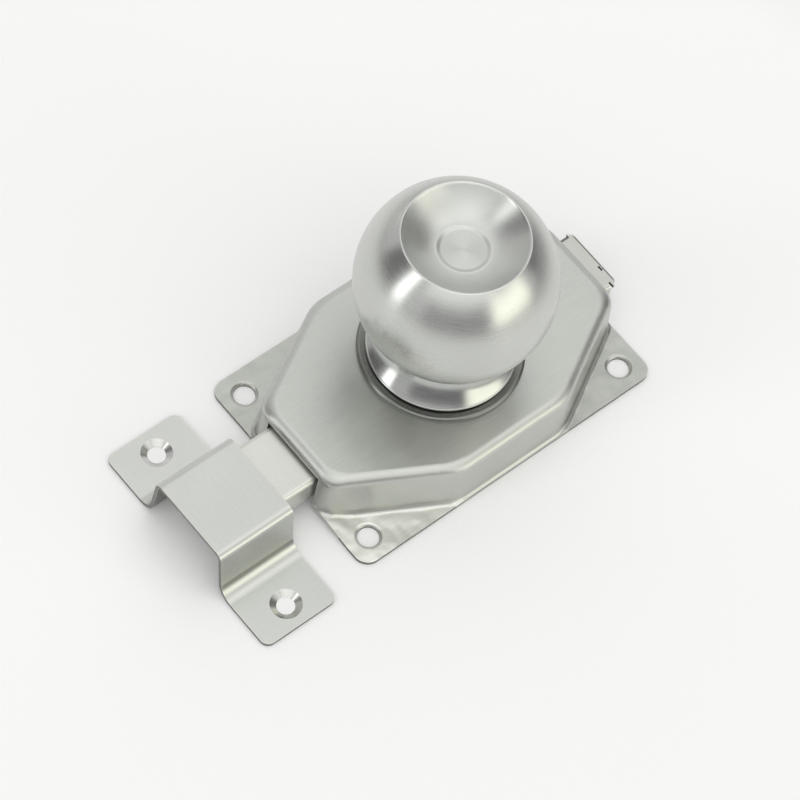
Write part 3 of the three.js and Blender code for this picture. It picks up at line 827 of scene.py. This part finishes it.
def shape_tail(piece, nose, tail, half, web, top):
    """Ends the bar in a flat plate with round corners, a relief at one side and a small mark."""
    shoulder = tail - bolt.tail_flat
    cut(piece, block("tail_end", (shoulder, -half - BEYOND, 0), (tail + BEYOND, half + BEYOND, top + BEYOND)))
    plan = rounded(rectangle(shoulder - bolt.relief - BEYOND, tail, -half, half), bolt.plan_radius)
    plate = upright("tail_plate", plan, web, top)
    cut(plate, block("plate_back", (nose, -half, 0), (shoulder, half, top + BEYOND)))
    join(piece, plate)
    low = (shoulder - bolt.relief, -half - BEYOND, 0)
    high = (shoulder, -half + bolt.relief_depth, top + BEYOND)
    cut(piece, block("tail_relief", low, high))
    low = (shoulder + tail_mark.start, tail_mark.middle - tail_mark.half_length, 0)
    high = (shoulder + tail_mark.end, tail_mark.middle + tail_mark.half_length, top + BEYOND)
    cut(piece, block("tail_mark", low, high))


def make_bolt():
    """The folded bolt, made with its travel at the middle."""
    thrown = -bolt.throw / 2
    nose, tail = bolt_low.x - thrown, bolt_high.x - thrown
    half = -bolt_low.y
    bottom, top = bolt_low.z, bolt_high.z
    web = top - SHEET
    middle = top - SHEET / 2
    section = folded([
        (-half + SHEET / 2, bottom),
        (-half + SHEET / 2, middle),
        (half - SHEET / 2, middle),
        (half - SHEET / 2, bottom),
    ], SHEET, (bolt.bend, bolt.bend))
    piece = along_x("bolt_bar", section, nose, tail)
    notch = ear.half_length + ear.relief
    inner = half - SHEET - bolt.bend
    cut(piece, block("ear_notch", (-notch, inner, 0), (notch, half + BEYOND, top + BEYOND)))
    plan = rounded(rectangle(-ear.half_length, ear.half_length, 0, ear.reach), ear.corner)
    join(piece, upright("ear", plan, web, top))
    path = cam_path()
    for start, end in zip(path, path[1:]):
        outline = slot_outline(start, end, pin.radius + LOOSE_FIT)
        cut(piece, upright("cam_slot", outline, web - BEYOND, top + BEYOND))
    outline = slot_outline((thrown, 0), (-thrown, 0), spindle.radius + LOOSE_FIT)
    cut(piece, upright("spindle_slot", outline, web - BEYOND, top + BEYOND))
    flap = half - SHEET - LOOSE_FIT
    join(piece, block("nose_flap", (nose, -flap, bottom + SHEET / 2), (nose + SHEET, flap, middle)))
    shape_tail(piece, nose, tail, half, web, top)
    split_faces(piece, [((x, 0, 0), (1, 0, 0)) for x in (cover_high.x - thrown, tail - bolt.dark_rim)])
    add_piece(
        piece,
        "bolt",
        satin_bolt,
        ["bolt_channel"],
        edge=bolt.edge,
        place=(thrown, 0, 0),
        turn=math.radians(bolt.play),
    )

    def behind_cover(centre, normal):
        return centre.x > cover_high.x

    def on_tail_edge(centre, normal):
        slopes = abs(normal.z) < 0.97
        in_reach = centre.x > bolt_high.x - bolt.tail_reach
        return centre.x > bolt_high.x - bolt.dark_rim or (slopes and in_reach)

    # The tail beyond the cover is painted darker, as shade.
    finish_faces(piece, satin_tail_painted_shade, behind_cover)
    # The tail's edge faces and a thin rim of its top are dark: partly a dark burr, partly a painted shadow
    # line.
    finish_faces(piece, sheared_and_shadowed, on_tail_edge)


# -------------------------------------------------------------------------------------------- the knob


def dish_height(radius):
    """The height of the dished face: steepest at the rim, and level where it meets the cap."""
    share = (radius - dish.cap_radius) / (knob.rim - dish.cap_radius)
    return ball_high.z - dish.depth * (1 - max(share, 0) ** dish.curve)


def knob_rim():
    """The rolled rim's section, which leaves the ball and reaches the dish in line with each.

    Gives the height of the ball's centre, the angle at which the rim leaves the ball, and the rim's points.
    """
    radius, roll = ball_high.x, knob.rim_round
    rise = math.sqrt(radius**2 - knob.rim**2)
    faces = QUARTER + math.atan(dish.depth * dish.curve / (knob.rim - dish.cap_radius))
    depth = math.cos(faces) * knob.rim + math.sin(faces) * rise - roll
    leaves = faces - math.acos(depth / (radius - roll))
    centre = ball_high.z - rise
    middle = ((radius - roll) * math.cos(leaves), centre + (radius - roll) * math.sin(leaves))
    return centre, leaves, arc(middle, roll, leaves, faces, steps=10)


def make_knob_ball():
    """The spun ball: a shell that is open below for the neck, and above within its rolled rim."""
    radius, inner = ball_high.x, ball_high.x - knob.wall
    centre, leaves, rim = knob_rim()
    opening = knob.opening
    outside = arc((0, centre), radius, -math.acos(opening / radius), leaves, steps=72)
    inside = arc((0, centre), inner, math.acos(rim[-1][0] / inner), -math.acos(opening / inner), steps=40)
    profile = [*outside, *rim[1:], *inside]
    add_piece(turned("knob_shell", profile), "knob", spun, ["knob_ball"], edge=0)


def make_knob_dish():
    """The hollow face within the ball's rim, down to the button at its middle."""
    rim = knob_rim()[2]
    outer = rim[-1][0] - dish.rim_gap
    upper = [(r, dish_height(r)) for r in sweep(outer, dish.cap_radius, steps=36)]
    lower = [(r, z - dish.wall) for r, z in upper[::-1]]
    add_piece(turned("knob_face", upper + lower), "knob", spun_face, ["knob_dish"], edge=0)


def make_knob_cap():
    """The round button in the dish: flat, and turned up at its edge in a soft step to meet the dish."""
    radius = dish.cap_radius - cap.gap
    rim = dish_height(0) - cap.sunk
    bottom = cap_low.z - cap.step
    edge = []
    for share in sweep(0, 1, steps=12):
        drop = cap.step * (1 - math.cos(math.pi * share)) / 2
        edge.append((radius - cap.step_width * share, rim - drop))
    profile = [(0, bottom), (radius, bottom), *edge, (0, rim - cap.step)]
    add_piece(turned("knob_button", profile), "knob", spun_face, ["knob_cap"], edge=0)


def make_knob_neck():
    """The spun neck: a flare whose sheet runs up into the ball, with a rolled lip at its foot."""
    lip = neck_high.x
    bottom = neck_low.z

    def flare(wide, narrow, low, steps=36):
        first = QUARTER * knob.flare_cut
        angles = sweep(first, QUARTER, steps)
        across = (wide - narrow) / (1 - math.sin(first))
        rise = (knob.flare_top - low) / math.cos(first)
        return [(narrow + across * (1 - math.sin(a)), knob.flare_top - rise * math.cos(a)) for a in angles]

    edge = knob.lip / 2
    outside = flare(lip - edge, knob.neck_radius, bottom + knob.lip)
    inside = flare(lip - edge, knob.neck_radius - knob.wall, bottom)
    roll = arc((lip - edge, bottom + edge), edge, -QUARTER, QUARTER, steps=12)
    profile = [*roll, *outside[1:], *inside[:0:-1]]
    add_piece(turned("knob_collar", profile), "knob", polished, ["knob_neck"], edge=0)


make_cover()
make_rose_ring()
make_keeper()
make_bolt()
make_knob_ball()
make_knob_dish()
make_knob_cap()
make_knob_neck()

refinish(
    plated,
    "spindle_bush",
    "front_strap",
    "rear_strap",
    "knob_core",
    "knob_screw",
    "spindle",
    "upper_washer",
    "crank_arm",
    "crank_pin",
    "lower_washer",
)
refinish(dark_spring, "friction_spring", "wave_washer", "circlip")

# ------------------------------------------------------------------------------ floor, light, camera

# These are in metres in the frame, but for the camera's roll, in degrees, and its lens, in millimetres.
CAMERA = Sizes(place=(-0.37144, -0.31329, 0.83398), aim=(0.0046, 0.0023, 0.0), roll=12.34)
LENS = Sizes(length=164.7, sensor=36.0, sight=10.0)
# The paper's glow is painted light, and the pool is painted light too: it darkens the paper's colour away
# from its middle.
PAPER = Sizes(half_size=3.0, drop=0.00002, tone=0.9, fibre_scale=900.0, fibre_shade=0.005, glow=0.06)
PAPER_GLOSS = Sizes(roughness=0.9, specular=0.1)
POOL = Sizes(place=(-0.15, 0.0, 0.0), full=0.32, faded=0.50, rest=0.5)

TENT_GLOW = (0.67, 0.67, 0.67)

# Each soft panel of the tent: where its middle stands, how wide it is, from what height to what height, in
# degrees, how soft its borders are, and the light that it adds or takes away.
PANELS = [
    Sizes(azimuth=0, half_width=180, low=66, high=100, soft=10, light=(0.55, 0.55, 0.55)),
    Sizes(azimuth=30, half_width=60, low=44, high=74, soft=10, light=(0.34, 0.34, 0.33)),
    Sizes(azimuth=-45, half_width=26, low=46, high=70, soft=10, light=(0.7, 0.7, 0.66)),
    Sizes(azimuth=-130, half_width=48, low=30, high=80, soft=8, light=(0.55, 0.55, 0.53)),
    Sizes(azimuth=-70, half_width=21, low=-15, high=28, soft=9, light=(1.2, 1.2, 0.97)),
    Sizes(azimuth=162, half_width=5, low=-10, high=54, soft=4, light=(1.8, 1.8, 1.8)),
    Sizes(azimuth=135, half_width=12, low=-15, high=50, soft=8, light=(-0.45, -0.45, -0.45)),
    Sizes(azimuth=-14, half_width=18, low=-30, high=50, soft=8, light=(-0.46, -0.46, -0.46)),
    Sizes(azimuth=-132, half_width=34, low=-20, high=24, soft=9, light=(-0.38, -0.38, -0.37)),
    Sizes(azimuth=50, half_width=42, low=0, high=34, soft=9, light=(0.22, 0.22, 0.22)),
]


def make_floor():
    """White paper with a slight painted glow, in a painted pool of light that falls off beyond the object's
    right.
    """
    half = PAPER.half_size
    floor = mesh_object("floor", [(x, y, 0) for x, y in rectangle(-half, half, -half, half)], [(0, 1, 2, 3)])
    floor.location.z = -PAPER.drop
    material = bpy.data.materials.new("paper")
    material.use_nodes = True
    tree = material.node_tree
    shader = tree.nodes["Principled BSDF"]
    places = node(tree, "TexCoord").outputs["Object"]
    away = node(tree, "VectorMath", {0: places, 1: POOL.place}, operation="DISTANCE").outputs["Value"]
    fibres = noise(tree, places, PAPER.fibre_scale, detail=3.0, roughness=0.5)
    shade = varied(tree, fibres, PAPER.tone, PAPER.fibre_shade)
    shade = maths(tree, "MULTIPLY", shade, ranged(tree, away, POOL.full, POOL.faded, 1.0, POOL.rest))
    tree.links.new(shade, shader.inputs["Base Color"])
    shader.inputs["Roughness"].default_value = PAPER_GLOSS.roughness
    shader.inputs["Specular IOR Level"].default_value = PAPER_GLOSS.specular
    tree.links.new(shade, shader.inputs["Emission Color"])
    shader.inputs["Emission Strength"].default_value = PAPER.glow
    floor.data.materials.append(material)


def make_tent():
    """A light tent as the world: an even glow, with soft brighter and darker panels round it."""
    world = bpy.data.worlds.new("tent")
    bpy.context.scene.world = world
    world.use_nodes = True
    tree = world.node_tree
    tree.nodes.clear()
    parts = node(tree, "SeparateXYZ", {0: node(tree, "TexCoord").outputs["Generated"]})
    east, north, up = parts.outputs
    level = node(tree, "CombineXYZ", {0: east, 1: north})
    heading = node(tree, "VectorMath", {0: level.outputs[0]}, operation="NORMALIZE").outputs[0]
    elevation = maths(tree, "ARCSINE", up)
    light = node(tree, "RGB").outputs[0]
    light.default_value = (*TENT_GLOW, 1)
    for panel in PANELS:
        a = math.radians(panel.azimuth)
        aim = (math.cos(a), math.sin(a), 0)
        facing = node(tree, "VectorMath", {0: heading, 1: aim}, operation="DOT_PRODUCT").outputs["Value"]
        wide = math.cos(math.radians(min(panel.half_width + panel.soft, 180)))
        narrow = math.cos(math.radians(max(panel.half_width - panel.soft, 0)))
        soft = math.radians(panel.soft)
        low, high = math.radians(panel.low), math.radians(panel.high)
        glow = maths(tree, "MULTIPLY", stepped(tree, facing, wide, narrow), maths(
            tree,
            "MULTIPLY",
            stepped(tree, elevation, low - soft, low + soft),
            stepped(tree, elevation, high + soft, high - soft),
        ))
        added = node(tree, "VectorMath", {0: panel.light, "Scale": glow}, operation="SCALE").outputs[0]
        light = node(tree, "VectorMath", {0: light, 1: added}, operation="ADD").outputs[0]
    background = node(tree, "Background", {"Color": light, "Strength": 1.0})
    output = node(tree, "OutputWorld")
    tree.links.new(background.outputs[0], output.inputs["Surface"])


def make_camera():
    """A long lens above the keeper's end, rolled a little."""
    place, aim = Vector(CAMERA.place), Vector(CAMERA.aim)
    camera = bpy.data.objects.new("camera", bpy.data.cameras.new("camera"))
    bpy.context.scene.collection.objects.link(camera)
    camera.data.lens = LENS.length
    camera.data.sensor_width = LENS.sensor
    camera.data.clip_end = LENS.sight
    roll = Matrix.Rotation(math.radians(CAMERA.roll), 4, "Z")
    look = (aim - place).to_track_quat("-Z", "Y").to_matrix().to_4x4()
    camera.matrix_world = Matrix.Translation(place) @ look @ roll
    bpy.context.scene.camera = camera


make_floor()
make_tent()
make_camera()
bpy.context.scene.view_settings.view_transform = "Standard"
